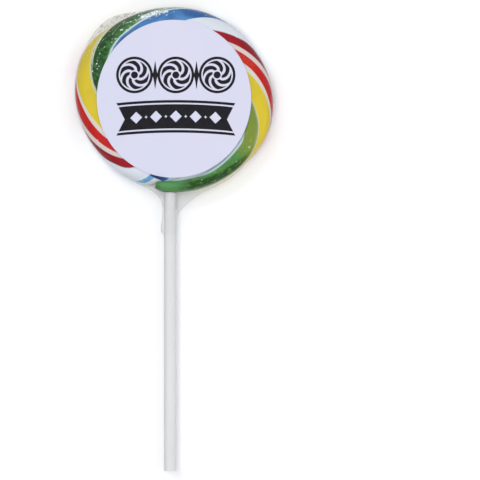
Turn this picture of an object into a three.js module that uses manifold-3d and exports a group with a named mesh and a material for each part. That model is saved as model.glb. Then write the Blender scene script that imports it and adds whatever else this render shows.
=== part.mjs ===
// A swirl lollipop: a twisted rope of coloured sugar, coiled and pressed flat, on a paper stick, in a
// clear shrunk wrapper that gathers round the stick, with a round paper label on its face.
//
// Millimetres. It lies on its back: z = 0 is the face it rests on, the label looks along +Z and the
// stick runs along -Y. The origin is at the middle of the coil.

import * as THREE from 'three';
import { mergeVertices } from 'three/addons/utils/BufferGeometryUtils.js';
import Module from 'manifold-3d';

const wasm = await Module();
wasm.setup();

const turn = 2 * Math.PI;
const degrees = (count) => turn * count / 360;
const touchGap = 0.3;

// The coil, seen from the front. Its rope starts with a cut tip at the bottom of the rim and winds
// counterclockwise and inward. The rim is a spiral with a lobe each time the thickest strand comes out.
const candyThickness = 9;
const tipAngle = degrees(258);
const rimRadius = 36;
const rimTightening = 2;
const lobes = [
  { angle: degrees(345), height: 3.2 },
  { angle: degrees(513), height: 4.9 },
];
const lobeRise = degrees(32);
const lobeFall = degrees(60);
const lobePower = 1.5;

// The rope: narrow at its tip, full size less than half a turn on, and squeezed against its own turns.
const ropeWidth = 15;
const tipWidth = 3.9;
const tipCutWidth = 2.2;
const tipRounding = degrees(6);
const taperTurns = 0.42;
const squeeze = 0.7;
const stepInTurns = 0.022;
const coilTurns = 3.05;
const innerLimit = 0.4;
const strandCount = 5;
const strandRelief = 0.35;
const twistLength = 92;
const sectionPower = 3;
const pressedAway = 0.3;
const lengthCount = 5;
const plugShare = 0.8;

// Where the turns meet they are fused to this distance from each face. The rope's inner end is a button.
const grooveDepth = 1.3;
const fusedRadius = 26;
const buttonRadius = 3.5;
const buttonEdge = 1;

const stickDiameter = 4.75;
const stickLength = 139.7;
const stickX = -1.5;
const stickEndY = -144.1;
const stickEdge = 0.25;

const labelDiameter = 60.5;
const labelThickness = 0.3;
const labelX = -0.2;
const labelY = 0.5;

// The wrapper's free part: a sleeve on the stick that flares into two folded fins under the candy.
const sleeveGap = 0.2;
const sleeveWall = 0.3;
const sleeveEndY = -52.3;
const flareTopY = -32;
const flareThickness = 8.6;
const rightFin = { fold: 0.15, startY: -44, reach: 17, power: 1.3 };
const leftFin = { fold: 0.6, startY: -40.5, reach: 10.5, power: 1.6 };

const facetsPerTurn = 44;
const pointsPerStrand = 4;

const middleZ = candyThickness / 2;
const stickRadius = stickDiameter / 2;
const sleeveRadius = stickRadius + sleeveGap + sleeveWall;
const { smoothstep, lerp } = THREE.MathUtils;

// ---- solids ----

// A round rod from y = 0 to y = 1 with radius 1, with its seam closed so that it can be bent to shape.
function unitRod(sides, steps) {
  const rod = new THREE.CylinderGeometry(1, 1, 1, sides, steps);
  rod.translate(0, 0.5, 0);
  return closed(rod);
}

function closed(geometry) {
  geometry.deleteAttribute('normal');
  geometry.deleteAttribute('uv');
  return mergeVertices(geometry);
}

// Bends a unit rod: place(along, around, out) gives the point for a share of the length, an angle
// around the section and a share of its radius.
function bend(rod, place) {
  const position = rod.getAttribute('position');
  for (let i = 0; i < position.count; i++) {
    const x = position.getX(i);
    const z = position.getZ(i);
    const point = place(position.getY(i), Math.atan2(z, x), Math.hypot(x, z));
    position.setXYZ(i, point.x, point.y, point.z);
  }
  return rod;
}

function toSolid(geometry) {
  return new wasm.Manifold(new wasm.Mesh({
    numProp: 3,
    vertProperties: new Float32Array(geometry.getAttribute('position').array),
    triVerts: new Uint32Array(geometry.getIndex().array),
  }));
}

function toGeometry(solid) {
  const mesh = solid.getMesh();
  const geometry = new THREE.BufferGeometry();
  geometry.setAttribute('position', new THREE.BufferAttribute(mesh.vertProperties, 3));
  geometry.setIndex(new THREE.BufferAttribute(mesh.triVerts, 1));
  geometry.computeVertexNormals();
  return geometry;
}

function piece(name, geometry, color, roughness) {
  const material = new THREE.MeshStandardMaterial({ color, roughness, metalness: 0 });
  const mesh = new THREE.Mesh(geometry, material);
  mesh.name = name;
  return mesh;
}

// ---- candy ----

const turnsFromTip = (angle) => (angle - tipAngle) / turn;

function rimAt(angle) {
  let radius = rimRadius - rimTightening * turnsFromTip(angle);
  for (const lobe of lobes) {
    const away = (angle - lobe.angle) / (angle < lobe.angle ? lobeRise : lobeFall);
    radius += lobe.height / (1 + away ** 2) ** lobePower;
  }
  return radius;
}

function ropeWidthAt(angle) {
  return lerp(tipWidth, ropeWidth, smoothstep(turnsFromTip(angle), 0, taperTurns));
}

// The outer side of the rope: the rim for the first turn, then the inner side of the turn outside it.
function outerSide(angle) {
  const rim = rimAt(angle);
  const covered = smoothstep(turnsFromTip(angle), 1 - stepInTurns, 1 + stepInTurns);
  return covered === 0 ? rim : lerp(rim, innerSide(angle - turn), covered);
}

function innerSide(angle) {
  return Math.max(outerSide(angle) - ropeWidthAt(angle), innerLimit);
}

// A strand's height over the rope's round section, for its place around it as a share of the whole.
function relief(share) {
  return strandRelief * (Math.abs(Math.sin(Math.PI * strandCount * share)) - 1);
}

const superCosine = (angle) => Math.sign(Math.cos(angle)) * Math.abs(Math.cos(angle)) ** (2 / sectionPower);
const superSine = (angle) => Math.sign(Math.sin(angle)) * Math.abs(Math.sin(angle)) ** (2 / sectionPower);

// How often the rope has turned about itself at an angle of the coil.
function twistAt(angle) {
  const steps = 40;
  let length = 0;
  for (let i = 0; i < steps; i++) {
    const at = lerp(tipAngle, angle, (i + 0.5) / steps);
    length += (outerSide(at) + innerSide(at)) / 2 * (angle - tipAngle) / steps;
  }
  return length / twistLength;
}

// How much the cut tip is rounded off on each side.
function trimAt(angle) {
  const cut = 1 - Math.min(1, (angle - tipAngle) / tipRounding);
  return (tipWidth - tipCutWidth) / 2 * cut ** 2;
}

function coilPoint(angle, twist, around, out) {
  const inner = Math.max(innerSide(angle) - squeeze, innerLimit / 2);
  const outer = outerSide(angle) + squeeze * smoothstep(turnsFromTip(angle), 1, 1 + stepInTurns);
  const trim = trimAt(angle);
  const halfWidth = (outer - inner) / 2 - trim;
  const halfHeight = middleZ + pressedAway - trim;
  const lift = relief(around / turn);
  const place = around + turn * twist;
  const radius = (outer + inner) / 2 + out * superCosine(place) * (halfWidth + lift);
  const z = middleZ + out * superSine(place) * (halfHeight + lift);
  return { x: radius * Math.cos(angle), y: radius * Math.sin(angle), z };
}

// One length of the rope. It ends in a plug, one facet long, that sinks into the next length.
function ropeLength(from, to) {
  const steps = Math.round(facetsPerTurn * (to - from) / turn);
  const rod = unitRod(strandCount * pointsPerStrand, steps + 1);
  return bend(rod, (along, around, out) => {
    const step = Math.round(along * (steps + 1));
    const angle = lerp(from, to, step / steps);
    return coilPoint(angle, twistAt(angle), around, step > steps ? out * plugShare : out);
  });
}

// The fused middle of the coil: a disc under the grooves, with the button of the rope's inner end.
function fusedMiddle() {
  const low = grooveDepth;
  const high = candyThickness - grooveDepth;
  const profile = [
    [0, 0],
    [buttonRadius, 0],
    [buttonRadius + buttonEdge, low],
    [fusedRadius, low],
    [fusedRadius, high],
    [buttonRadius + buttonEdge, high],
    [buttonRadius, candyThickness],
    [0, candyThickness],
  ];
  const disc = new THREE.LatheGeometry(profile.map(([x, y]) => new THREE.Vector2(x, y)), 40);
  disc.rotateX(Math.PI / 2);
  return closed(disc);
}

function stickGeometry(radius, endY, length, edge) {
  const profile = [
    [0, 0],
    [radius - edge, 0],
    [radius, edge],
    [radius, length - edge],
    [radius - edge, length],
    [0, length],
  ];
  const rod = new THREE.LatheGeometry(profile.map(([x, y]) => new THREE.Vector2(x, y)), 32);
  rod.translate(stickX, endY, middleZ);
  return closed(rod);
}

function candyGeometry() {
  let candy = toSolid(fusedMiddle());
  for (let i = 0; i < lengthCount; i++) {
    const from = tipAngle + turn * coilTurns * i / lengthCount;
    const to = tipAngle + turn * coilTurns * (i + 1) / lengthCount;
    candy = candy.add(toSolid(ropeLength(from, to)));
  }
  const press = new THREE.BoxGeometry(100, 100, candyThickness);
  press.translate(0, 0, middleZ);
  const bore = stickGeometry(stickRadius + touchGap, stickEndY, stickLength + touchGap, stickEdge);
  return toGeometry(candy.intersect(toSolid(closed(press))).subtract(toSolid(bore)));
}

// ---- wrapper ----

function finReach(fin, y) {
  const share = Math.max(0, (y - fin.startY) / (flareTopY - fin.startY));
  return sleeveRadius + fin.fold + fin.reach * share ** fin.power;
}

// The film is pulled straight from the round middle to the edge of each fin.
function filmRadius(around, middle, reach) {
  const touch = Math.acos(middle / reach);
  return around < touch ? middle / Math.cos(touch - around) : middle;
}

function wrapperPoint(along, around, out) {
  const y = lerp(sleeveEndY, flareTopY, along);
  const opened = smoothstep(y, rightFin.startY, flareTopY);
  const middle = lerp(sleeveRadius, flareThickness / 2, opened);
  const side = Math.abs(around);
  const radius = side < Math.PI / 2
    ? filmRadius(side, middle, finReach(rightFin, y))
    : filmRadius(Math.PI - side, middle, finReach(leftFin, y));
  return {
    x: stickX + out * radius * Math.cos(around),
    y,
    z: middleZ + out * radius * Math.sin(around),
  };
}

// The candy's outline seen from the front, with the gap round it.
function candyOutline() {
  const outline = new THREE.Shape();
  const count = 4 * facetsPerTurn;
  for (let i = 0; i < count; i++) {
    const angle = tipAngle + turn * i / count;
    const radius = outerSide(angle) - trimAt(angle) + touchGap;
    const x = radius * Math.cos(angle);
    const y = radius * Math.sin(angle);
    if (i === 0) outline.moveTo(x, y);
    else outline.lineTo(x, y);
  }
  return outline;
}

function wrapperGeometry() {
  const film = bend(unitRod(28, 18), wrapperPoint);
  const bore = stickGeometry(stickRadius + sleeveGap, stickEndY, stickLength, stickEdge);
  const clear = new THREE.ExtrudeGeometry(candyOutline(), { depth: candyThickness, bevelEnabled: false });
  return toGeometry(toSolid(film).subtract(toSolid(bore)).subtract(toSolid(closed(clear))));
}

// ---- label ----

function labelGeometry() {
  const disc = new THREE.CylinderGeometry(labelDiameter / 2, labelDiameter / 2, labelThickness, 72);
  disc.rotateX(Math.PI / 2);
  disc.translate(labelX, labelY, candyThickness + touchGap + labelThickness / 2);
  return disc;
}

const lollipop = new THREE.Group();
lollipop.add(
  piece('candy', candyGeometry(), 0x4f8a52, 0.2),
  piece('stick', stickGeometry(stickRadius, stickEndY, stickLength, stickEdge), 0xe6e8ea, 0.6),
  piece('label', labelGeometry(), 0xdcdef2, 0.5),
  piece('wrapper', wrapperGeometry(), 0xe4e6e8, 0.15),
);

export default lollipop;
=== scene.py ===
import bisect
import math

import bpy
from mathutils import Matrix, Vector, geometry, noise


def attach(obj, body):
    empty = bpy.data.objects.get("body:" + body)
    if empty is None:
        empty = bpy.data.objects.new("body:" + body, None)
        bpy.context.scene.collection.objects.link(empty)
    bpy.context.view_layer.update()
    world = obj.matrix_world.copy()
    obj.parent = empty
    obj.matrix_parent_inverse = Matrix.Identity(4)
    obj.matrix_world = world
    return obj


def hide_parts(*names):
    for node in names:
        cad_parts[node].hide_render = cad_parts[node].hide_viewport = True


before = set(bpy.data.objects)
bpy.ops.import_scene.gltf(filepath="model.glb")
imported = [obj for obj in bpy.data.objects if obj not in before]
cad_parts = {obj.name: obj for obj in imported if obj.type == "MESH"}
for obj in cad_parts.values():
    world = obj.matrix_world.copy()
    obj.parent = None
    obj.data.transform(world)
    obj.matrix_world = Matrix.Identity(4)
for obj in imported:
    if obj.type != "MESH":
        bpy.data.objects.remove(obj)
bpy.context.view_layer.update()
mm = 0.001
print("frame loaded")


# selecting, naming and finishing a piece
def mode(name):
    bpy.ops.object.mode_set(mode=name)


def pickOnly(piece):
    bpy.ops.object.select_all(action="DESELECT")
    piece.select_set(True)
    bpy.context.view_layer.objects.active = piece


def named(name):
    piece = bpy.context.object
    piece.name = piece.data.name = name
    return piece


def fresh(name, add, **settings):
    # a new primitive with nothing else selected
    bpy.ops.object.select_all(action="DESELECT")
    add(**settings)
    return named(name)


def edit(piece, wanted=lambda part: True, kind="FACE"):
    # leaves the piece in edit mode with the wanted faces, edges or vertices selected
    pickOnly(piece)
    mode("EDIT")
    bpy.ops.mesh.select_mode(type=kind)
    bpy.ops.mesh.select_all(action="DESELECT")
    mode("OBJECT")
    parts = {"FACE": piece.data.polygons, "EDGE": piece.data.edges, "VERT": piece.data.vertices}
    for part in parts[kind]:
        part.select = wanted(part)
    mode("EDIT")


def removeFaces(piece, wanted):
    edit(piece, wanted)
    bpy.ops.mesh.delete(type="FACE")
    mode("OBJECT")


def joinTo(piece, others):
    pickOnly(piece)
    for other in others:
        other.select_set(True)
    bpy.ops.object.join()


def closeSeams(piece, distance):
    edit(piece)
    bpy.ops.mesh.remove_doubles(threshold=distance)
    bpy.ops.mesh.select_all(action="SELECT")
    bpy.ops.mesh.normals_make_consistent(inside=False)
    mode("OBJECT")


def smoothShade(piece, angle=None):
    pickOnly(piece)
    if angle is None:
        bpy.ops.object.shade_smooth()
    else:
        bpy.ops.object.shade_smooth_by_angle(angle=math.radians(angle))


def settle(piece):
    pickOnly(piece)
    bpy.ops.object.transform_apply(location=True, rotation=True, scale=True)


def layMaps(piece, names, places):
    # two UV maps, from what they say at each vertex
    piece.data.uv_layers.new()
    first, second = piece.data.uv_layers
    first.name, second.name = names
    for loop in piece.data.loops:
        first.data[loop.index].uv, second.data[loop.index].uv = places[loop.vertex_index]


def wear(piece, finish):
    piece.data.materials.clear()
    piece.data.materials.append(finish)


# sums: easing, mixing, and turning an angle into a place
def smooth(value, low, high):
    share = min(max((value - low) / (high - low), 0), 1)
    return share * share * (3 - 2 * share)


def between(low, high, share):
    return low + (high - low) * share


def along(marks, value):
    # straight from each mark to the next
    for (low, first), (high, second) in zip(marks, marks[1:]):
        if value <= high:
            return between(first, second, (value - low) / (high - low))
    return marks[-1][1]


def polar(radius, degrees):
    return radius * math.cos(math.radians(degrees)), radius * math.sin(math.radians(degrees))


def aroundMiddle(x, y):
    return math.hypot(x, y), math.degrees(math.atan2(y, x)) % 360


def smeared(value, at, step):
    # the mean of a function at five places, a step apart
    return sum(value(at + step * count) for count in (-2, -1, 0, 1, 2)) / 5


class Wire:
    # a node's output socket; arithmetic on it adds Math nodes
    def __init__(self, tree, owner=None, out=0):
        self.tree = tree
        self.owner = owner
        self.socket = owner.outputs[out] if owner and owner.outputs else None

    def pick(self, out):
        return Wire(self.tree, self.owner, out)

    def node(self, kind, settings=None, inputs=None):
        made = self.tree.nodes.new("ShaderNode" + kind)
        for name, value in (settings or {}).items():
            if name == "stops":
                ramp = made.color_ramp.elements
                ramp.remove(ramp[1])
                for number, (place, colour) in enumerate(value):
                    stop = ramp.new(place) if number else ramp[0]
                    stop.position, stop.color = place, (*colour, 1)
            else:
                setattr(made, name, value)
        for name, value in (inputs or {}).items():
            if isinstance(value, Wire):
                self.tree.links.new(value.socket, made.inputs[name])
            elif made.inputs[name].type == "RGBA":
                made.inputs[name].default_value = (*value, 1)
            else:
                made.inputs[name].default_value = value
        return Wire(self.tree, made)

    def split(self):
        return self.node("SeparateXYZ", {}, {0: self})

    def grain(self, scale, detail=2.0, roughness=0.5, distortion=0.0, stretch=(1, 1, 1)):
        # noise on these coordinates, stretched by the Mapping node
        mapped = self.node("Mapping", {}, {"Vector": self, "Scale": stretch})
        return self.node("TexNoise", {}, {"Vector": mapped, "Scale": scale, "Detail": detail,
                                          "Roughness": roughness, "Distortion": distortion})

    def bump(self, strength, distance):
        return self.node("Bump", {}, {"Strength": strength, "Distance": distance, "Height": self})

    def math(self, operation, first, second=0.0):
        return self.node("Math", {"operation": operation}, {0: first, 1: second})

    def __add__(self, other):
        return self.math("ADD", self, other)

    def __radd__(self, other):
        return self.math("ADD", other, self)

    def __sub__(self, other):
        return self.math("SUBTRACT", self, other)

    def __rsub__(self, other):
        return self.math("SUBTRACT", other, self)

    def __mul__(self, other):
        return self.math("MULTIPLY", self, other)

    def __truediv__(self, other):
        return self.math("DIVIDE", self, other)

    def __pow__(self, other):
        return self.math("POWER", self, other)

    def between(self, none, full, fullTo=None, noneFrom=None):
        # eased from 0 to 1, downwards too where full is the lower, and back to 0 past a second pair
        eased = self.node("MapRange", {"interpolation_type": "SMOOTHSTEP"},
                          {"Value": self, "From Min": none, "From Max": full})
        return eased if fullTo is None else eased * self.between(noneFrom, fullTo)

    def tint(self, first, second):
        # this value mixes one colour with another
        return self.node("Mix", {"data_type": "RGBA"}, {0: self, 6: first, 7: second}).pick(2)

    def cover(self, under, over):
        # this value puts one shader over another
        return self.node("MixShader", {}, {0: self, 1: under, 2: over})


def finished(material, shader):
    shader.node("OutputMaterial", {}, {"Surface": shader})
    return material


def newFinish(name):
    material = bpy.data.materials.new(name)
    material.use_nodes = True
    material.node_tree.nodes.clear()
    start = Wire(material.node_tree)
    return material, start, start.node("TexCoord").pick("Object")


# the camera looks straight down; all sizes here are in millimetres
view = {
    "lens": 400,
    "sensor": 36,
    "width": 186.05,  # what the picture takes in, at the height below
    "height": 7,
    "centre": (25.6, -54.5),
    "nearest": 10,
}


def placeCamera():
    distance = view["width"] * view["lens"] / view["sensor"]
    x, y = view["centre"]
    bpy.ops.object.camera_add(location=(x * mm, y * mm, (distance + view["height"]) * mm))
    camera = named("camera")
    camera.data.lens = view["lens"]
    camera.data.sensor_width = view["sensor"]
    camera.data.clip_start = view["nearest"] * mm
    bpy.context.scene.camera = camera


placeCamera()


# the rope of sugar and its coil; angles are in degrees and run on from the tip
coil = {
    "tipAngle": 258,
    "turns": 3.05,
    "rimRadius": 36,
    "rimTightening": 2,
    "lobes": ((345, 3.2), (513, 4.9)),
    "lobeRise": 32,
    "lobeFall": 60,
    "lobePower": 1.5,
    "ropeWidth": 15,
    "tipWidth": 3.9,
    "tipCutWidth": 2.2,
    "tipRounding": 6,
    "taperTurns": 0.42,
    "squeeze": 0.7,
    "stepInTurns": 0.022,
    "innerLimit": 0.4,
    "middle": 4.5,
    "halfHeight": 4.75,
    "backFace": 0.1,  # the pressed faces
    "frontFace": 9.0,
    "sectionPower": 3,
    "creases": (0, 0.185, 0.41, 0.555, 0.8),
    "creaseDepth": 0.3,
    "creaseCurve": 0.7,
    "columns": 200,
    "stations": 420,
    "tipStations": 12,
    "endShares": (0, 0.5, 0.8, 0.94, 1),
}

# where each strand ends, as a share of the round, how far that shifts across the rope, and its
# colours where it is thin and where it is thick
strands = (
    ("green", 0.167, -0.7, (0.070, 0.232, 0.060), (0.016, 0.064, 0.011)),
    ("thinWhite", 0.190, -0.78, (0.58, 0.71, 0.73), (0.52, 0.65, 0.68)),
    ("blue", 0.426, 0.08, (0.095, 0.270, 0.560), (0.034, 0.113, 0.315)),
    ("broadWhite", 0.548, -0.12, (0.69, 0.73, 0.80), (0.63, 0.68, 0.74)),
    ("deepRed", 0.638, -0.18, (0.345, 0.008, 0.018), (0.205, 0.005, 0.012)),
    ("midWhite", 0.686, -0.2, (0.66, 0.60, 0.57), (0.60, 0.52, 0.49)),
    ("red", 0.772, -0.35, (0.520, 0.014, 0.012), (0.400, 0.009, 0.011)),
    ("nearWhite", 0.823, -0.15, (0.66, 0.63, 0.58), (0.60, 0.55, 0.50)),
    ("yellow", 0.991, -0.1, (0.670, 0.525, 0.033), (0.515, 0.405, 0.036)),
    ("paleLine", 1.012, -0.12, (0.56, 0.60, 0.42), (0.46, 0.52, 0.34)),
)

stripes = {
    "yellowEdge": 0.756,  # where green meets yellow on the round at the tip
    "degreesPerTwist": 184,
    "uneven": ((545, 575, -0.02), (588, 600, 0.036), (600, 618, 0.07), (618, 636, 0.125)),
    "straight": (622, 690),
    "leansFrom": (330, 355),
    "leaning": ((585, 600, 0.36), (620, 640, 0.14)),
    "innerDegreesPerTwist": 260,
    "twistBlur": 4,
    "tipGreen": (262, 300, 0.42, 0.305),  # how far round the green reaches at the tip, and past it
    "tipWhite": 0.045,
    "whiteGrows": (325, 350),
    "shiftFrom": 0.2,
    "leastWidth": 0.005,
}


def rimAt(angle):
    radius = coil["rimRadius"] - coil["rimTightening"] * (angle - coil["tipAngle"]) / 360
    for lobeAngle, height in coil["lobes"]:
        away = (angle - lobeAngle) / (coil["lobeRise"] if angle < lobeAngle else coil["lobeFall"])
        radius += height / (1 + away * away) ** coil["lobePower"]
    return radius


def turnsFromTip(angle):
    return (angle - coil["tipAngle"]) / 360


def ropeWidthAt(angle):
    return between(coil["tipWidth"], coil["ropeWidth"], smooth(turnsFromTip(angle), 0, coil["taperTurns"]))


def outerSide(angle):
    covered = smooth(turnsFromTip(angle), 1 - coil["stepInTurns"], 1 + coil["stepInTurns"])
    if covered == 0:
        return rimAt(angle)
    return between(rimAt(angle), innerSide(angle - 360), covered)


def innerSide(angle):
    return max(outerSide(angle) - ropeWidthAt(angle), coil["innerLimit"])


def trimAt(angle):
    cut = 1 - min(1, (angle - coil["tipAngle"]) / coil["tipRounding"])
    return (coil["tipWidth"] - coil["tipCutWidth"]) / 2 * cut * cut


def ropeSection(angle):
    # middle radius, half width and half height of the rope there
    inner = max(innerSide(angle) - coil["squeeze"], coil["innerLimit"] / 2)
    outer = outerSide(angle) + coil["squeeze"] * smooth(turnsFromTip(angle), 1, 1 + coil["stepInTurns"])
    trim = trimAt(angle)
    return (outer + inner) / 2, (outer - inner) / 2 - trim, coil["halfHeight"] - trim


def sectionPoint(section, place, lift, out):
    # place runs from the outer side over the front face to the inner side and back underneath
    middle, halfWidth, halfHeight = section
    power = 2 / coil["sectionPower"]
    across = math.copysign(abs(math.cos(place)) ** power, math.cos(place))
    up = math.copysign(abs(math.sin(place)) ** power, math.sin(place))
    z = coil["middle"] + out * up * (halfHeight + lift)
    z = min(max(z, coil["backFace"]), coil["frontFace"])
    return middle + out * across * (halfWidth + lift), z


def roundShares(section, steps=160):
    # how far round the rope each place lies, as a share of the whole way
    points = [sectionPoint(section, 2 * math.pi * step / steps, 0, 1) for step in range(steps + 1)]
    total, shares = 0, [0]
    for last, point in zip(points, points[1:]):
        total += math.hypot(point[0] - last[0], point[1] - last[1])
        shares.append(total)
    return [share / total for share in shares]


def placeFor(shares, share):
    share %= 1
    after = min(max(bisect.bisect_right(shares, share), 1), len(shares) - 1)
    part = (share - shares[after - 1]) / (shares[after] - shares[after - 1])
    return 2 * math.pi * (after - 1 + part) / (len(shares) - 1)


def rawTwist(angle):
    held, freed = stripes["straight"]
    twist = (min(angle, held) - coil["tipAngle"]) / stripes["degreesPerTwist"]
    for first, last, extra in stripes["uneven"]:
        twist += extra * min(max((angle - first) / (last - first), 0), 1)
    return twist + max(angle - freed, 0) / stripes["innerDegreesPerTwist"]


def twistAt(angle):
    return smeared(rawTwist, angle, stripes["twistBlur"])


def roundShareOf(column, angle):
    # where a column of the strands lies on the round of the rope
    green, white = strands[0][1], strands[1][1]
    edge = stripes["yellowEdge"] + twistAt(angle)
    first, last, atTip, after = stripes["tipGreen"]
    greenTo = max(green, between(atTip, after, smooth(angle, first, last)) + 1 - edge)
    whiteTo = greenTo + between(stripes["tipWhite"], white - green, smooth(angle, *stripes["whiteGrows"]))
    return edge + along(((0, 0), (green, greenTo), (white, whiteTo), (1, 1)), column)


def creaseAt(column):
    # 0 along the middle of a strand, down to the full depth between two
    edges = coil["creases"] + (1,)
    for low, high in zip(edges, edges[1:]):
        if low <= column <= high:
            swell = max(math.sin(math.pi * (column - low) / (high - low)), 0)
            return coil["creaseDepth"] * (swell ** coil["creaseCurve"] - 1)
    return 0


def colourShare(column, share, angle):
    # the colour edges lean a little across the rope, more or less from place to place
    front = min(share % 1, 1 - share % 1, stripes["shiftFrom"]) - stripes["shiftFrom"]
    usual = smooth(angle, *stripes["leansFrom"])
    more = sum(extra * smooth(angle, first, last) for first, last, extra in stripes["leaning"])
    pale, paleShift = strands[-1][1:3]
    marks = [(pale - 1 + (paleShift * usual + more) * front, pale - 1)]
    for name, end, shift, thin, thick in strands:
        leant = end + (shift * usual + more) * front
        marks.append((max(leant, marks[-1][0] + stripes["leastWidth"]), end))
    return along(marks, marks[0][0] + (column - marks[0][0]) % 1)


def ringStations():
    # for each ring of the rope its angle, and how far it is opened out from the rope's middle
    first, last = coil["tipAngle"], coil["tipAngle"] + 360 * coil["turns"]
    ends, fine = coil["endShares"], coil["tipStations"]
    angles = [first] * len(ends)
    angles += [first + coil["tipRounding"] * step / fine for step in range(1, fine + 1)]
    rest = coil["stations"] + 1 - len(angles) - (len(ends) - 1)
    angles += [between(angles[-1], last, step / rest) for step in range(1, rest + 1)]
    angles += [last] * (len(ends) - 1)
    outs = list(ends) + [1] * (coil["stations"] + 1 - 2 * len(ends)) + list(ends[::-1])
    return zip(angles, outs)


def ropeRing(angle, out):
    # for each column its place, and what the two maps say there
    section = ropeSection(angle)
    shares = roundShares(section)
    turns = turnsFromTip(angle)
    ring = []
    for number in range(coil["columns"] + 1):
        column = number / coil["columns"]
        share = roundShareOf(column, angle)
        radius, z = sectionPoint(section, placeFor(shares, share), creaseAt(column), out)
        x, y = polar(radius, angle)
        side = abs((share + 0.5) % 1 - 0.5)
        ring.append((Vector((x, y, z)) * mm, ((colourShare(column, share, angle), turns), (side, turns))))
    return ring


def makeCandy():
    columns, stations = coil["columns"], coil["stations"]
    rope = fresh("candyRope", bpy.ops.mesh.primitive_grid_add,
                 x_subdivisions=columns, y_subdivisions=stations, size=1)
    rings = [ropeRing(angle, out) for angle, out in ringStations()]
    onMaps = {}
    for vertex in rope.data.vertices:
        column = round((vertex.co.x + 0.5) * columns)
        station = round((vertex.co.y + 0.5) * stations)
        vertex.co, onMaps[vertex.index] = rings[station][column]
    layMaps(rope, ("strands", "round"), onMaps)
    closeSeams(rope, 1e-6)
    smoothShade(rope)
    return rope


sugar = {
    "edgeSoftness": 0.004,
    "streakScale": 9,
    "streakStretch": (26, 3, 1),
    "dashStretch": (75, 90, 1),
    "cloudScale": 120,
    "blotScale": 190,
    "raggedScale": 430,
    "fleckScale": 650,
    "dentScale": 260,
    "pitScale": 1400,
    "slant": 0.7,  # how fast the tip's dark run and its edge go down its side
    "steepSlant": 0.9,
    "notch": -0.208,  # how the shard and the wedge at the end of the first turn lean
    "wedge": 0.361,
    "thinLineEnds": (0.25, 0.2),
    "lineHeart": ((0.13, 0.15), (0.342, 0.352)),
    "sliver": (0.56, 0.68, 0.70),
    # navy of the blue line, darkened further as painted shadow of the label's edge
    "navyAndLabelShadow": (0.035, 0.075, 0.170),
    "roughness": 0.3,
    "specular": 0.3,
    "bump": (0.35, 0.0004),
}

# the strands that are touched up, as shares of the round: none, full, still full and none again
touchedStrands = {
    "green": (0.172, 0.157),
    "blue": (0.188, 0.196, 0.422, 0.430),
    "red": (0.684, 0.690, 0.768, 0.776),
}

# where the colour goes deeper, for thicker sugar and, at the rim, for painted shade: strand and grain,
# its stretch in turns from the tip, its limits across (share of the strands, side from the rim, or aslant),
# and how much
deeper = (
    # painted shade at the rim, where the rope turns down away from the light
    ("", (0.2, 0.3), {"side": (0.19, 0.06)}, 0.7),
    ("blue", (0.2, 0.3), {"side": (0.19, 0.06)}, 0.3),
    # the green at the left and its heart
    ("green rough", (0.6, 0.7), {"share": (0.165, 0.1403)}, 1),
    ("green blotted", (0.42, 0.5), {"share": (0.132, 0.0495)}, 1),
    # the tip's dark run, then painted shade along its lower edge and on its cut end
    ("green dense", (0.02, 0.07, 0.17, 0.21), {"slant": (0.18, 0.23), "steepSlant": (0.375, 0.32)}, 1),
    ("green worn", (0.09, 0.06), {"steepSlant": (0.195, 0.155)}, 1),
    ("green", (0.011, 0.004), {}, 0.5),
    # the blue past the tip, painted shade on the blue along the rim, and more at the top
    ("blue streaky", (0.3, 0.4), {}, 1),
    ("blue", (0.3, 0.4, 0.50, 0.53), {"side": (0.18, 0.12)}, 0.6),
    ("blue", (0.57, 0.62, 0.68, 0.72), {}, 0.65),
)

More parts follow.
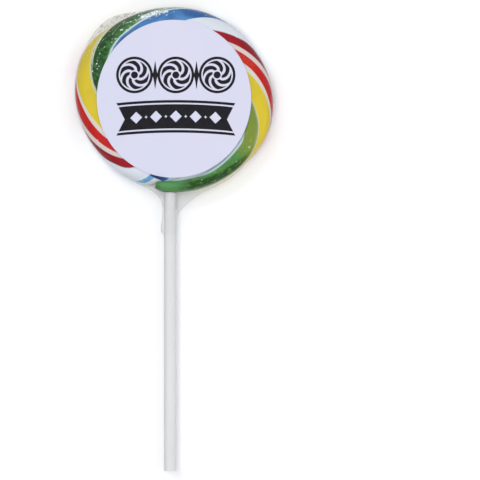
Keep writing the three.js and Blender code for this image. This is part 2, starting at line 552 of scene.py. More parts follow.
# where its colour is another, with the colour last
touches = (
    ("green cloudy", (0.155, 0.2, 0.27, 0.3), {}, 0.9, (0.21, 0.27, 0.040)),
    # painted glints of the crumpled film: yellow-green dashes on the tip
    ("green dashes", (0.02, 0.07, 0.17, 0.21), {"side": (0.08, 0.14)}, 0.6, (0.24, 0.38, 0.07)),
    # painted glints of the crumpled film: lighter flecks on the green at the top
    ("green flecks", (0.5, 0.6), {}, 0.4, (0.09, 0.30, 0.11)),
    # painted glints of the crumpled film: pale olive dashes on the green past the tip
    ("green cloudyDashes", (0.155, 0.2, 0.2, 0.25), {}, 0.6, (0.44, 0.50, 0.08)),
    ("red ragged", (0.33, 0.37, 0.385, 0.41), {}, 0.7, (0.56, 0.060, 0.026)),
    ("green", (0.07, 0.04), {"side": (0.2, 0.26)}, 0.5, (0.12, 0.34, 0.14)),
    # the rope rolls a little at the upper left and at the right
    ("", (0.60, 0.64, 0.70, 0.74), {"share": (0.007, 0.002)}, 1, (0.58, 0.46, 0.036)),
    ("", (0.60, 0.64, 0.70, 0.74), {"share": (0.002, 0.007, 0.024, 0.031)}, 1, (0.58, 0.66, 0.46)),
    ("", (0.28, 0.31, 0.388, 0.408), {"share": (0.538, 0.542, 0.548, 0.553)}, 1, (0.230, 0.006, 0.014)),
    ("", (0.625, 0.645, 0.69, 0.72), {"share": (0.179, 0.183, 0.190, 0.194)}, 0.8, (0.06, 0.17, 0.33)),
    # painted sheen: at the top a pale teal over the green's inner side, for the film's reflection there
    ("green", (0.53, 0.55, 0.585, 0.615), {"share": (0.1188, 0.1419)}, 0.6, (0.40, 0.58, 0.56)),
    # the coil's first turn ends on the second: a pale sliver, a shard of light blue and a navy wedge
    ("green", (0.999, 1.001, 1.22, 1.26), {}, 1, sugar["sliver"]),
    ("blue broken", (0.93, 0.95), {"notch": (0.970, 0.966)}, 1, (0.17, 0.46, 0.66)),
    ("blue", (0.93, 0.95), {"notch": (0.966, 0.970), "wedge": (1.042, 1.038)}, 1, (0.66, 0.68, 0.71)),
    ("blue", (0.93, 0.95), {"wedge": (1.038, 1.042)}, 1, (0.010, 0.035, 0.130)),
    ("blue", (1.0, 1.02), {"wedge": (1.038, 1.042)}, 1, (0.025, 0.110, 0.400)),
    ("blue", (1.018, 1.026), {}, 1, sugar["sliver"]),
)


def strandStops(which):
    # two stops at each colour edge, close together; the round starts inside the pale line
    soft = sugar["edgeSoftness"]
    colours = [strand[which] for strand in strands]
    edges = [strand[1] for strand in strands]
    stops = [(edges[-1] - 1 - soft, colours[-1]), (edges[-1] - 1 + soft, colours[0])]
    for number in range(len(strands) - 1):
        stops.append((edges[number] - soft, colours[number]))
        stops.append((edges[number] + soft, colours[number + 1]))
    return stops


def sugarMasks(start, solid):
    # measures of the rope, its strands and the grains that break them up, by name
    place = start.node("UVMap", {"uv_map": "strands"})
    split = place.split()
    share, turns = start.math("FRACT", split.pick("X")), split.pick("Y")
    side = start.node("UVMap", {"uv_map": "round"}).split().pick("X")
    # pulled sugar: streaks along the strands, slow changes of depth and blots; flecks and short dashes,
    # which on the green serve as painted glints of the crumpled film
    streaks = place.grain(sugar["streakScale"], 3, stretch=sugar["streakStretch"])
    clouds = solid.grain(sugar["cloudScale"])
    blots = solid.grain(sugar["blotScale"], 3, 0.6, 0.8).between(0.40, 0.60)
    ragged = solid.grain(sugar["raggedScale"], 3, 0.65, 1.2).between(0.44, 0.56)
    flecks = solid.grain(sugar["fleckScale"], 3, 0.65).between(0.50, 0.64)
    dashes = place.grain(1, 2, 0.6, stretch=sugar["dashStretch"]).between(0.59, 0.66)
    cloudy = (clouds + streaks).between(0.5, 0.9)
    masks = dict(
        share=share, turns=turns, side=side,
        slant=side + turns * sugar["slant"], steepSlant=side + turns * sugar["steepSlant"],
        notch=turns + side * sugar["notch"], wedge=turns + side * sugar["wedge"],
        streaks=streaks, clouds=clouds, ragged=ragged, flecks=flecks, dashes=dashes,
        dents=solid.grain(sugar["dentScale"], 3),
        pits=solid.grain(sugar["pitScale"]),
        rough=0.6 + ragged * 0.5, blotted=blots * 0.45 + ragged * 0.4,
        dense=0.75 + blots * 0.2 + ragged * 0.35, worn=0.4 + ragged * 0.7,
        streaky=(streaks * 0.6 + clouds * 0.4).between(0.45, 0.6) * 0.6 - 0.25,
        cloudy=cloudy, cloudyDashes=cloudy * dashes, broken=0.5 + flecks * 0.4,
    )
    for name, span in touchedStrands.items():
        masks[name] = share.between(*span)
    return masks


def touched(masks, names, turns, limits):
    # the named masks, in one stretch of the rope and within the limits across it
    product = masks["turns"].between(*turns)
    for name in names.split():
        product = product * masks[name]
    for name, span in limits.items():
        product = product * masks[name].between(*span)
    return product


def sugarFinish():
    material, start, solid = newFinish("boiledSugar")
    masks = sugarMasks(start, solid)
    thin = start.node("ValToRGB", {"stops": strandStops(3)}, {"Fac": masks["share"]})
    thick = start.node("ValToRGB", {"stops": strandStops(4)}, {"Fac": masks["share"]})
    depth = (masks["streaks"] * 0.5 + masks["clouds"] * 0.9 - 0.35).between(0.2, 0.95) * 0.8
    # thicker sugar and painted shade at the rim both deepen the colour
    for names, turns, limits, amount in deeper:
        depth = depth + touched(masks, names, turns, limits) * amount
    colour = start.math("MINIMUM", depth, 1.0).tint(thin, thick)
    for names, turns, limits, strength, tone in touches:
        colour = (touched(masks, names, turns, limits) * strength).tint(colour, tone)
    # at the tip the thin blue line is pale, with a navy heart along the label's edge: partly the blue
    # strand, partly painted shadow of the label's edge
    along, down = sugar["lineHeart"]
    heart = masks["turns"].between(*along) * masks["side"].between(*down)
    thinLine = masks["blue"] * masks["turns"].between(*sugar["thinLineEnds"])
    colour = thinLine.tint(colour, heart.tint(sugar["sliver"], sugar["navyAndLabelShadow"]))
    height = masks["dents"] * 0.8 + masks["streaks"] * 0.35 + masks["pits"] * 0.06
    return finished(material, start.node("BsdfPrincipled", {}, {
        "Base Color": colour, "Roughness": sugar["roughness"] + masks["dents"] * 0.16, "IOR": 1.45,
        "Specular IOR Level": sugar["specular"], "Normal": height.bump(*sugar["bump"])}))


candyRope = makeCandy()
wear(candyRope, sugarFinish())
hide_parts("candy")
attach(candyRope, "root")
print("candy made:", len(candyRope.data.polygons), "faces")


stick = {
    "radius": 2.375,
    "x": -1.5,
    "z": 4.5,
    "ends": (-144.1, -4.4),
    "sides": 96,
    "cuts": 60,
    "rim": 0.16,
    "rimFall": (0.1, 0.35),
    "paperRing": 0.28,  # its rolled ends show the layers
    "ringSteps": (-0.07, 0.03),
    "seamStep": 0.045,  # the last layer of paper ends on the stick in a small step
    "seamAngle": 118,
    "seamTurn": 22,
    # where the painted shade lies on the stick's upper left side
    "leftShadeX": (-0.0026, -0.0035),  # in metres
    "leftShadeZ": (0.003, 0.005),
}


def makeStick():
    low, high = stick["ends"]
    roll = fresh("stickRoll", bpy.ops.mesh.primitive_cylinder_add,
                 vertices=stick["sides"], radius=stick["radius"] * mm, depth=(high - low) * mm,
                 location=(stick["x"] * mm, (low + high) / 2 * mm, stick["z"] * mm),
                 rotation=(math.pi / 2, 0, 0))
    settle(roll)
    # rolled ends: a rounded rim, then one ring of paper after another, each a little deeper
    edit(roll, lambda face: abs(face.normal.y) > 0.9)
    bpy.ops.mesh.inset(thickness=stick["rim"] * mm, depth=0)
    for ring in range(6):
        bpy.ops.mesh.inset(thickness=stick["paperRing"] * mm, depth=stick["ringSteps"][ring % 2] * mm)
    mode("OBJECT")
    edit(roll, lambda face: abs(face.normal.y) < 0.3)
    bpy.ops.mesh.select_mode(type="EDGE")
    mode("OBJECT")
    for edge in roll.data.edges:
        a, b = (roll.data.vertices[index].co for index in edge.vertices)
        edge.select = abs(a.y - b.y) > (high - low) / 2 * mm
    mode("EDIT")
    bpy.ops.mesh.subdivide(number_cuts=stick["cuts"])
    mode("OBJECT")
    fall, fallLength = stick["rimFall"]
    for vertex in roll.data.vertices:
        away = Vector((vertex.co.x - stick["x"] * mm, 0, vertex.co.z - stick["z"] * mm))
        y = vertex.co.y / mm
        angle = math.degrees(math.atan2(away.z, away.x))
        seam = (angle - stick["seamAngle"] - stick["seamTurn"] * (y - low) / (high - low)) % 360
        inward = stick["seamStep"] * seam / 360 + fall * (1 - smooth(min(y - low, high - y), 0, fallLength))
        vertex.co -= away * inward / stick["radius"]
    smoothShade(roll, 35)
    return roll


def paperRollFinish():
    material, start, solid = newFinish("rolledPaper")
    split = solid.split()
    fibres = solid.grain(900, 4, 0.65, stretch=(1, 0.12, 1))
    blotches = solid.grain(90, stretch=(1, 0.35, 1))
    tone = (fibres * 0.4 + blotches * 0.6).between(0.3, 0.75)
    colour = tone.tint((0.665, 0.67, 0.675), (0.715, 0.72, 0.725))
    # painted shade: a greyer line down the upper left side of the stick
    leftShade = split.pick("X").between(*stick["leftShadeX"]) * split.pick("Z").between(*stick["leftShadeZ"])
    colour = (leftShade * 0.55).tint(colour, (0.53, 0.535, 0.555))
    return finished(material, start.node("BsdfPrincipled", {}, {
        "Base Color": colour, "Roughness": 0.5 + fibres * 0.2, "Normal": fibres.bump(0.25, 0.0001)}))


stickRoll = makeStick()
wear(stickRoll, paperRollFinish())
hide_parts("stick")
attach(stickRoll, "root")
print("stick made:", len(stickRoll.data.polygons), "faces")


film = {
    "segments": 256,
    "rings": 300,
    "discRings": 186,
    "discEnd": -31,
    "discReach": 36,
    "end": -52.3,
    "gap": 0.14,  # off the candy's rim
    "bridging": 0.6,  # how far it is pulled straight across hollows of the rim
    "front": 4.64,  # half thickness each way from the middle of the candy
    "back": 4.46,
    "shoulder": 6.0,
    "tipShoulder": 2.4,
    "tipStretch": (236, 256, 285, 330),
    "rimPower": 3,
    "sleeve": 2.85,
    "stickFit": 2.44,
    "beadWidth": 0.35,  # the folded edge of its free part
    "beadHeight": 0.28,
    "beadFrom": -26,
    "edgeHeight": (0.1, 0.3),
    "flap": (106, 129, 154, 2.7),  # a loose corner at the upper left
    "flapRagged": 0.12,
    "freeFrom": (0.1, 0.9),
    "crumpledRing": (30, 33),
    "crumpled": (84, 104, 150, 175),  # where it is most crumpled
    "crinkles": (0.15, 0.16),  # height of its folds, on the candy and down the neck
    "crinkleRing": (31, 36),
    "crinkledNeck": -34,
    "crinkleSides": (3.1, 9.7),  # front and back differ
    # where its creases catch the light: angle and spread, radius and spread, strength
    "glints": ((104, 18, 34.1, 1.9, 1.0), (128, 16, 33.6, 2.2, 0.62), (154, 14, 33.2, 2.6, 0.5),
               (52, 18, 34.6, 1.0, 0.42), (222, 22, 34.0, 1.2, 0.4), (283, 24, 33.6, 1.4, 0.3),
               (322, 12, 34.6, 1.2, 0.42)),
    "neckHalf": 4.3,
    "neckFrom": -44,
    "neckTo": -32,
    "neckJoins": (24, 32, 1.2),  # where it leaves the candy, and how softly
    "neckSmoothing": (-22, 0.35),
    "rightEdge": ((31.0, -21.7), (25.6, -27.5), (20.9, -31.1), (15.9, -33.9), (11.2, -36.0),
                  (8.1, -38.0), (5.0, -40.4), (2.6, -42.7), (1.45, -44.3), (1.1, -46), (1.0, -52.4)),
    "leftEdge": ((-23.0, -27.4), (-19.0, -29.95), (-13.8, -32.8), (-8.9, -35.1), (-6.3, -37.0),
                 (-4.85, -39.4), (-4.45, -42), (-4.5, -45.2), (-5.1, -49.6), (-5.15, -50.8),
                 (-4.5, -52.4)),
    "edgeEnds": (-33, 229),  # the last degree that follows the candy on each side
}


def candyRim(degrees):
    angle = degrees if degrees >= coil["tipAngle"] else degrees + 360
    return outerSide(angle) - trimAt(angle)


def filmRim():
    # radius for each whole degree
    outline = [candyRim(degrees) for degrees in range(360)]
    points = [Vector(polar(radius, degrees)) for degrees, radius in enumerate(outline)]
    hull = [points[index] for index in geometry.convex_hull_2d(points)]
    radii = []
    for degrees, radius in enumerate(outline):
        far = Vector(polar(2 * radius, degrees))
        reach = radius
        for first, second in zip(hull, hull[1:] + hull[:1]):
            hit = geometry.intersect_line_line_2d((0, 0), far, first, second)
            if hit is not None:
                reach = max(reach, Vector(hit).length)
        radii.append(between(radius, reach, film["bridging"]) + film["gap"])
    return [smeared(lambda near: radii[near % 360], degrees, 1) for degrees in range(360)]


filmRadii = filmRim()


def filmRimAt(degrees):
    degrees %= 360
    low = int(degrees)
    return between(filmRadii[low % 360], filmRadii[(low + 1) % 360], degrees - low)


def flapAt(degrees):
    first, widest, last, width = film["flap"]
    ragged = film["flapRagged"] * noise.noise(Vector((degrees * 0.5, 0, 0)))
    return (width + ragged) * smooth(degrees, first, widest) * (1 - smooth(degrees, widest, last))


def filmEdge(degrees):
    return polar(filmRimAt(degrees) + flapAt(degrees), degrees)


def sideLines():
    # the film's edge from the top down each side, as points with falling y
    top = max(range(60, 120), key=lambda degrees: filmEdge(degrees)[1])
    rightEnd, leftEnd = film["edgeEnds"]
    right = [filmEdge(degrees) for degrees in range(top, rightEnd - 1, -1)] + list(film["rightEdge"])
    left = [filmEdge(degrees) for degrees in range(top, leftEnd + 1)] + list(film["leftEdge"])
    return right, left


def xAlong(line, y):
    if y >= line[0][1]:
        return line[0][0]
    for (x1, y1), (x2, y2) in zip(line, line[1:]):
        if y2 <= y:
            return between(x1, x2, (y - y1) / (y2 - y1)) if y1 != y2 else x2
    return line[-1][0]


def softX(line, y):
    # eases the corners of the neck
    below, step = film["neckSmoothing"]
    if y > below:
        return xAlong(line, y)
    return smeared(lambda near: xAlong(line, near), y, step)


def stretch(value, none, full, fullTo, noneFrom):
    return smooth(value, none, full) * (1 - smooth(value, fullTo, noneFrom))


def shoulderAt(degrees):
    return between(film["shoulder"], film["tipShoulder"], stretch(degrees, *film["tipStretch"]))


def candyHeight(x, y):
    # the film's height over the middle, as a share, where it lies on the candy
    radius, degrees = aroundMiddle(x, y)
    rim = filmRimAt(degrees)
    if radius >= rim:
        return 0
    inside = 1 - (rim - radius) / shoulderAt(degrees)
    if inside <= 0:
        return 1
    return (1 - inside ** film["rimPower"]) ** (1 / film["rimPower"])


def neckHeight(x, y, left, right):
    # round over the stick, and straight from there to each edge
    middle = between(film["sleeve"], film["neckHalf"], smooth(y, film["neckFrom"], film["neckTo"]))
    away = abs(x - stick["x"])
    reach = max(right - stick["x"] if x > stick["x"] else stick["x"] - left, 0.01)
    if reach <= middle:
        return middle * math.sqrt(max(1 - (away / reach) ** 2, 0))
    touch = middle * middle / reach
    if away < touch:
        return math.sqrt(middle * middle - away * away)
    return max(reach - away, 0) * middle / math.sqrt(reach * reach - middle * middle)


def fuse(first, second, soft):
    near = max(soft - abs(first - second), 0)
    return max(first, second) + near * near / (4 * soft)


def glintAt(degrees, radius):
    return max(strength * math.exp(-((degrees - angle) / spread) ** 2 - ((radius - middle) / width) ** 2)
               for angle, spread, middle, width, strength in film["glints"])


def crinkle(x, y, front):
    # folds that run out from the middle, strongest at the rim and down the neck
    side = film["crinkleSides"][0 if front else 1]
    onCandy, onNeck = film["crinkles"]
    if y < film["crinkledNeck"]:
        fold = noise.noise(Vector((x * 0.9, y * 0.16, side)))
        return onNeck * abs(fold + 0.5 * noise.noise(Vector((x * 2.1, y * 0.3, side))))
    radius, degrees = aroundMiddle(x, y)
    fold = noise.noise(Vector((degrees * 0.16, radius * 0.22, side)))
    fold += 0.6 * noise.noise(Vector((degrees * 0.45, radius * 0.5, side)))
    busy = 0.6 + 0.9 * stretch(degrees, *film["crumpled"])
    return onCandy * smooth(radius, *film["crinkleRing"]) * busy * abs(fold)


def filmRow(ring, top):
    # how far down each ring of the sphere lies
    disc = film["discRings"]
    if ring > disc:
        return between(film["discEnd"], film["end"], (ring - disc) / (film["rings"] - 1 - disc))
    radius = (top + film["discReach"]) / 2
    lastTurn = math.acos(1 - (top - film["discEnd"]) / radius)
    return top - radius * (1 - math.cos(lastTurn * ring / disc))


def filmHeight(x, y, low, high, front):
    # its height over the middle, between its left and right edge
    half = film["front"] if front else film["back"]
    height = half * candyHeight(x, y)
    leaves, left, soft = film["neckJoins"]
    if y < -leaves:
        neck = min(neckHeight(x, y, low, high), half)
        height = min(fuse(height, neck, soft * smooth(-y, leaves, left)), half)
    edge = min(x - low, high - x)
    bead = max(1 - (1 - edge / film["beadWidth"]) ** 2, 0) if y < film["beadFrom"] else 0
    edgeHeight, edgeWidth = film["edgeHeight"]
    height = max(height, film["beadHeight"] * math.sqrt(bead), edgeHeight * smooth(edge, 0, edgeWidth))
    if front or y < -36:
        height += crinkle(x, y, front) * smooth(edge, 0, 0.8)
    return height


def makeFilm():
    skin = fresh("wrapperFilm", bpy.ops.mesh.primitive_uv_sphere_add,
                 segments=film["segments"], ring_count=film["rings"], radius=1)
    right, left = sideLines()
    onMaps = {}
    for vertex in skin.data.vertices:
        ring = math.acos(max(-1, min(1, vertex.co.z))) / math.pi * film["rings"]
        if ring > film["rings"] - 0.5:  # the pole that is opened below
            vertex.co = Vector((stick["x"], film["end"], coil["middle"])) * mm
            onMaps[vertex.index] = ((1, 0), (0, 0))
            pole = vertex.index
            continue
        around = math.atan2(vertex.co.y, vertex.co.x)
        front = math.sin(around) >= 0
        y = filmRow(ring, right[0][1])
        low, high = softX(left, y), softX(right, y)
        x = (low + high) / 2 + (high - low) / 2 * math.cos(around)
        edge = min(x - low, high - x)
        height = filmHeight(x, y, low, high, front)
        if ring > film["rings"] - 1.5:  # the end of the sleeve is shrunk on the stick
            x = stick["x"] + (x - stick["x"]) * film["stickFit"] / film["sleeve"]
            height *= film["stickFit"] / film["sleeve"]
        vertex.co = Vector((x, y, coil["middle"] + (height if front else -height))) * mm
        radius, degrees = aroundMiddle(x, y)
        free = smooth(radius - candyRim(degrees), *film["freeFrom"])
        busy = stretch(degrees, *film["crumpled"]) * smooth(radius, *film["crumpledRing"])
        # free of the candy and how near the edge, and how crumpled and how much it glints
        onMaps[vertex.index] = ((free, edge / 10), (busy, glintAt(degrees, radius)))
    layMaps(skin, ("free", "busy"), onMaps)
    removeFaces(skin, lambda face: pole in face.vertices)
    closeSeams(skin, 1e-7)
    smoothShade(skin)
    return skin


filmLook = {
    "creaseScale": 420,
    "crumpleScale": 1700,
    "rippleScale": 130,
    "lineScale": 1250,
    "spotScale": 1500,
    "spotTurn": 38,  # its spots are drawn out along the coil, as it runs at the upper left
    "spotStretch": (1.6, 0.8, 1),
    "bump": (0.5, 0.0003),
    # in metres: left of the stick, beside it, up the neck, and all that is below the candy
    "left": (-0.0039, -0.0045),
    "beside": (0.0017, 0.0024),
    "high": (-0.046, -0.041),
    "low": (-0.024, -0.030),
    "clear": (0.985, 0.987, 0.99),
    "haze": (0.65, 0.65, 0.66),
    "shade": (0.40, 0.40, 0.41),
    # white of the painted glints on the film's creases
    "creaseGlintWhite": (0.80, 0.90, 0.93),
    "gloss": 0.06,
}


def filmWhites(start, solid, glints):
    # painted glints: creases of the crumpled film show as fine white lines and their crossings as spots
    # where the glint patches say, with a faint painted veil over the strongest
    lines = start.math("ABSOLUTE", solid.grain(filmLook["lineScale"], 1, 0.6, stretch=(0.6, 1, 1)) - 0.5)
    lines = (lines - 0.04).between(0.025, 0.0) * glints.between(0.68, 0.85)
    drawnOut = start.node("Mapping", {"vector_type": "TEXTURE"}, {
        "Vector": solid, "Rotation": (0, 0, math.radians(filmLook["spotTurn"])),
        "Scale": filmLook["spotStretch"]})
    cells = start.node("TexVoronoi", {"feature": "F1"}, {
        "Vector": drawnOut, "Scale": filmLook["spotScale"]})
    split = cells.pick("Color").split()
    chance, size = split.pick("X"), 0.55 + split.pick("Y") * 0.8
    spots = (cells.pick("Distance") / size).between(0.44, 0.26)
    spots = spots * (chance + glints * glints * 1.15).between(0.98, 1.02)
    whites = start.math("MAXIMUM", lines, spots) * start.math("MINIMUM", glints * 2.4, 0.9)
    return start.math("MAXIMUM", whites, glints.between(0.66, 0.82) * 0.2)


def filmFinish():
    material, start, solid = newFinish("clearFilm")
    where = start.node("UVMap", {"uv_map": "free"}).split()
    free, inward = where.pick("X"), where.pick("Y")
    crumpled = start.node("UVMap", {"uv_map": "busy"}).split()
    busy, glints = crumpled.pick("X"), crumpled.pick("Y")
    creases = solid.grain(filmLook["creaseScale"], 3, 0.55, 0.6)
    ripple = solid.grain(filmLook["rippleScale"])
    crumple = start.node("TexVoronoi", {"feature": "F1"}, {
        "Vector": solid, "Scale": filmLook["crumpleScale"]}).pick("Distance")
    bump = (creases * 0.6 + ripple + busy * (1 - free * 0.6) * crumple).bump(*filmLook["bump"])
    rim = start.node("LayerWeight", {}, {"Blend": 0.5}).pick("Facing").between(0.62, 0.95)
    rippled = start.node("LayerWeight", {}, {"Blend": 0.5, "Normal": bump}).pick("Facing")
    sheen = 0.025 + (rippled ** 4) * 0.4 * (1 - busy * 0.75) + busy * 0.04
    # haze in the web beside the stick, grey along its folds and at the rim
    place = solid.split()
    left, low = place.pick("X").between(*filmLook["left"]), place.pick("Y").between(*filmLook["low"])
    high = place.pick("Y").between(*filmLook["high"])
    beside = start.math("ABSOLUTE", place.pick("X") - stick["x"] * mm).between(*filmLook["beside"])
    web = high * (1 - left * 0.6) * beside * 0.1 + (1 - high) * left * 0.25
    fold = free * inward.between(0.035, 0.0) * (low * (0.3 + high * 0.7) + busy - low * busy)
    cloud = 0.004 + free * web + rim * (1 - low) * 0.22
    grey = free * busy * (0.04 + creases.between(0.48, 0.62) * 0.24) + fold * 0.4 + rim * (1 - low) * 0.1
    # from the clear film up to its gloss
    clear = start.node("BsdfTransparent", {}, {"Color": filmLook["clear"]})
    haze, shade, white = (start.node("BsdfDiffuse", {}, {"Color": filmLook[name]})
                          for name in ("haze", "shade", "creaseGlintWhite"))
    gloss = start.node("BsdfGlossy", {}, {
        "Color": (1, 1, 1), "Roughness": filmLook["gloss"], "Normal": bump})
    body = start.math("MINIMUM", grey, 0.85).cover(cloud.cover(clear, haze), shade)
    body = filmWhites(start, solid, glints).cover(body, white)
    return finished(material, sheen.cover(body, gloss))


wrapperFilm = makeFilm()
wear(wrapperFilm, filmFinish())
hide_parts("wrapper")
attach(wrapperFilm, "root")
print("wrapper made:", len(wrapperFilm.data.polygons), "faces")


label = {
    "radius": 30.25,
    "oval": (0.989, 1.011),
    "centre": (0.05, 0.2),
    "heights": (9.32, 9.58),
    "sides": 180,
    "rings": 14,
    "ringWidth": 2,
    "cutEdge": 0.06,
    "cockle": 0.05,
    "cockleScale": 90,
    "flatWithin": 24,
}


def makeLabel():
    low, high = label["heights"]
    x, y = label["centre"]
    disc = fresh("labelDisc", bpy.ops.mesh.primitive_cylinder_add,
                 vertices=label["sides"], radius=label["radius"] * mm, depth=(high - low) * mm,
                 location=(x * mm, y * mm, (low + high) / 2 * mm), scale=(*label["oval"], 1))
    settle(disc)
    edit(disc, lambda face: abs(face.normal.z) > 0.9)
    bpy.ops.mesh.inset(thickness=label["cutEdge"] * mm, depth=0)
    for ring in range(label["rings"]):
        bpy.ops.mesh.inset(thickness=label["ringWidth"] * mm, depth=0)
    mode("OBJECT")
    wide, tall = label["oval"]
    for vertex in disc.data.vertices:
        away = math.hypot((vertex.co.x / mm - x) / wide, (vertex.co.y / mm - y) / tall)
        loose = smooth(away, label["flatWithin"], label["radius"])
        wave = noise.noise(Vector((vertex.co.x, vertex.co.y, 0.3)) * label["cockleScale"])
        vertex.co.z += label["cockle"] * loose * wave * mm
        if away > label["radius"] - 0.02:  # a cut edge, a little soft
            vertex.co.z = between(vertex.co.z, (low + high) / 2 * mm, 0.3)
    smoothShade(disc, 30)
    return disc


def labelFinish():
    material, start, solid = newFinish("labelPaper")
    fibres = solid.grain(1500, 4, 0.7)
    clouds = solid.grain(55)
    tone = (clouds * 0.8 + fibres * 0.2).between(0.3, 0.7)
    colour = tone.tint((0.614, 0.630, 0.780), (0.640, 0.642, 0.785))
    return finished(material, start.node("BsdfPrincipled", {}, {
        "Base Color": colour, "Roughness": 0.42 + fibres * 0.12, "Normal": fibres.bump(0.12, 0.00008)}))


labelDisc = makeLabel()
wear(labelDisc, labelFinish())
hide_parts("label")
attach(labelDisc, "root")
print("label made:", len(labelDisc.data.polygons), "faces")


# three wheels over a ribbon, printed on the label
ink = {
    "centre": (0.75, 1.0),
    "heights": (9.575, 9.6),
    "wheelY": 8.4,
    "wheelX": (-16, 0, 16),
    "wheelRadius": 7.1,
    "hub": 1.9,
    "rimWidth": 1.0,
    "bareRing": 0.55,  # left free round the blades
    "blades": 6,
    "bladeTwist": 70,
    "bladeCurl": 1.3,
    "bladeShares": (0.52, 0.66),
    "bladeSize": (6, 16),
    "lozengeX": (-8, 8),
    "lozenge": (1.1, 5.6),
    "lozengeHollow": 0.25,
    "ribbonHalf": 23,
    "ribbonLevels": (-6.3, -5.3, -4.7, 0, 4.7, 5.3, 6.3),
    "ribbonY": -8.1,
    "ribbonSag": 1.2,
    "tail": 3.2,
    "gems": 2.3,
    "dots": 0.8,
}


def liftInk(shape, x, y):
    # from a flat shape at the origin to a layer of ink on the label
    low, high = ink["heights"]
    pickOnly(shape)
    layer = shape.modifiers.new("layer", "SOLIDIFY")
    layer.thickness, layer.offset = (high - low) * mm, 1
    bpy.ops.object.modifier_apply(modifier=layer.name)
    shape.location = ((ink["centre"][0] + x) * mm, (ink["centre"][1] + y) * mm, low * mm)
    settle(shape)
    return shape


def makeBlade(number):
    wide, long = ink["bladeSize"]
    blade = fresh("blade", bpy.ops.mesh.primitive_grid_add, x_subdivisions=wide, y_subdivisions=long, size=1)
    outer = ink["wheelRadius"] - ink["rimWidth"] - ink["bareRing"]
    for vertex in blade.data.vertices:
        across, out = vertex.co.x + 0.5, vertex.co.y + 0.5
        wideness = between(*ink["bladeShares"], out)
        twist = ink["bladeTwist"] * out ** ink["bladeCurl"]
        degrees = 360 / ink["blades"] * (number + across * wideness) - twist
        x, y = polar(between(ink["hub"], outer, out), -degrees)
        vertex.co = (x * mm, y * mm, 0)
    return blade


def makeWheel(x):
    rim, inner = ink["wheelRadius"], ink["wheelRadius"] - ink["rimWidth"]
    wheel = fresh("wheel", bpy.ops.mesh.primitive_circle_add,
                  vertices=72, radius=rim * mm, fill_type="NGON")
    edit(wheel)
    bpy.ops.mesh.inset(thickness=ink["rimWidth"] * mm, depth=0)
    bpy.ops.mesh.inset(thickness=(inner - ink["hub"] + ink["bareRing"]) * mm, depth=0)
    mode("OBJECT")
    # the ring between the rim and the hub is bare paper
    removeFaces(wheel, lambda face: 1 < math.hypot(face.center.x, face.center.y) / mm < inner)
    joinTo(wheel, [makeBlade(number) for number in range(ink["blades"])])
    edit(wheel)
    bpy.ops.mesh.normals_make_consistent(inside=False)
    mode("OBJECT")
    return liftInk(wheel, x, ink["wheelY"])


def makeLozenge(x):
    lozenge = fresh("lozenge", bpy.ops.mesh.primitive_circle_add, vertices=4, radius=1, fill_type="NGON")
    wide, tall = ink["lozenge"]
    lozenge.scale = (wide * mm, tall * mm, 1)
    settle(lozenge)
    edit(lozenge)
    bpy.ops.mesh.subdivide(number_cuts=3)
    mode("OBJECT")
    for vertex in lozenge.data.vertices:
        vertex.co.x *= 1 - ink["lozengeHollow"] * math.sin(math.pi * abs(vertex.co.y) / (tall * mm))
    return liftInk(lozenge, x, ink["wheelY"])


def punch(ribbon, places, size, steps):
    # bevels a vertex of the middle line into a hole
    edit(ribbon, lambda vertex: abs(vertex.co.y) < 0.001 * mm and any(
        abs(vertex.co.x - place * mm) < 0.01 * mm for place in places), "VERT")
    bpy.ops.mesh.bevel(offset=size * mm, segments=steps, affect="VERTICES")
    bpy.ops.mesh.select_mode(type="FACE")
    bpy.ops.mesh.delete(type="FACE")
    mode("OBJECT")


def makeRibbon():
    half, levels = ink["ribbonHalf"], ink["ribbonLevels"]
    rows = len(levels) - 1
    ribbon = fresh("ribbon", bpy.ops.mesh.primitive_grid_add, x_subdivisions=12, y_subdivisions=rows, size=1)
    for vertex in ribbon.data.vertices:
        vertex.co.x *= 2 * half * mm
        vertex.co.y = levels[round((vertex.co.y + 0.5) * rows)] * mm
    removeFaces(ribbon, lambda face: levels[-3] * mm < abs(face.center.y) < levels[-2] * mm)
    step = half / 6
    punch(ribbon, [step * count for count in (-4, -2, 0, 2, 4)], ink["gems"], 1)
    punch(ribbon, [step * count for count in (-3, -1, 1, 3)], ink["dots"], 8)
    for vertex in ribbon.data.vertices:
        x, y = vertex.co.x / mm / half, vertex.co.y / mm / levels[-1]
        if abs(x) > 0.99:  # swallow tails
            vertex.co.x -= math.copysign(ink["tail"] * (1 - abs(y)) * mm, x)
        vertex.co.y += ink["ribbonSag"] * (0.4 - x * x) * mm
    return liftInk(ribbon, 0, ink["ribbonY"])


def inkFinish():
    material, start, solid = newFinish("blackInk")
    mottle = solid.grain(700, 3, 0.6)
    colour = mottle.between(0.3, 0.7).tint((0.011, 0.011, 0.014), (0.016, 0.015, 0.020))
    return finished(material, start.node("BsdfPrincipled", {}, {
        "Base Color": colour, "Roughness": 0.38 + mottle * 0.2, "Specular IOR Level": 0.25}))


def makePrint():
    shapes = [makeWheel(x) for x in ink["wheelX"]] + [makeLozenge(x) for x in ink["lozengeX"]]
    joinTo(makeRibbon(), shapes)
    return named("labelPrint")


labelPrint = makePrint()
wear(labelPrint, inkFinish())
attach(labelPrint, "root")
print("print made:", len(labelPrint.data.polygons), "faces")


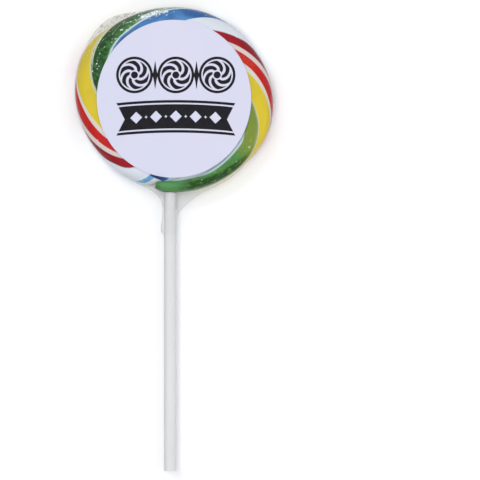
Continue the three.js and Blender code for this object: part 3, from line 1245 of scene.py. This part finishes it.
studio = {
    # place, size, power, and whether gloss shows it
    "lamps": (("keyLight", (-1.3, 0.9, 1.5), (1.4, 1.4), 9.5, False),
              ("fillLight", (1.4, 0.4, 1.4), (1.6, 1.6), 8.5, False),
              ("footLight", (0.1, -1.7, 1.4), (1.6, 1.2), 5.5, True),
              ("leftGlint", (-0.38, 0.75, 1.0), (0.35, 0.08), 1.15, True),
              ("rightGlint", (0.5, -0.42, 0.8), (0.15, 0.08), 0.4, True)),
    "overhead": 1.66,
    "overheadSpread": 42,
    "overheadTilt": (-3, -5),
    # bright round the horizon and dim overhead, so that flat gloss stays clear
    "sky": ((0.0, (0.695, 0.695, 0.70)), (0.08, (0.70, 0.70, 0.70)), (0.16, (0.22, 0.22, 0.22)),
            (0.3, (0.29, 0.29, 0.29)), (0.5, (0.48, 0.48, 0.48)), (0.85, (0.06, 0.06, 0.065))),
    "floorSize": 8,
    "aim": (0, -0.03, 0),
}


def softBox(name, place, size, power, inGloss):
    bpy.ops.object.light_add(type="AREA", location=place)
    lamp = named(name)
    lamp.data.shape = "RECTANGLE"
    lamp.data.size, lamp.data.size_y = size
    lamp.data.energy = power
    lamp.rotation_euler = (Vector(studio["aim"]) - Vector(place)).to_track_quat("-Z", "Y").to_euler()
    lamp.visible_glossy = inGloss


def floorFinish():
    material, start, solid = newFinish("paleFloor")
    speck = solid.grain(3)
    return finished(material, start.node("BsdfPrincipled", {}, {
        "Base Color": speck.tint((0.917, 0.920, 0.930), (0.932, 0.935, 0.945)),
        "Roughness": 0.9, "Specular IOR Level": 0.1}))


def makeSky():
    world = bpy.data.worlds.new("studio")
    world.use_nodes = True
    world.node_tree.nodes.clear()
    sky = Wire(world.node_tree)
    height = sky.node("TexCoord").pick("Generated").split().pick("Z")
    tone = sky.node("ValToRGB", {"stops": studio["sky"]}, {"Fac": height})
    light = sky.node("Background", {}, {"Color": tone, "Strength": 1.0})
    sky.node("OutputWorld", {}, {"Surface": light})
    bpy.context.scene.world = world
    bpy.context.scene.view_settings.view_transform = "Standard"


def makeStudio():
    floor = fresh("floor", bpy.ops.mesh.primitive_plane_add, size=studio["floorSize"])
    wear(floor, floorFinish())
    for lamp in studio["lamps"]:
        softBox(*lamp)
    tiltX, tiltY = (math.radians(degrees) for degrees in studio["overheadTilt"])
    bpy.ops.object.light_add(type="SUN", location=(0, 0, 2), rotation=(tiltX, tiltY, 0))
    overhead = named("overheadLight")
    overhead.data.energy = studio["overhead"]
    overhead.data.angle = math.radians(studio["overheadSpread"])
    overhead.visible_glossy = False
    makeSky()


makeStudio()
print("studio made")
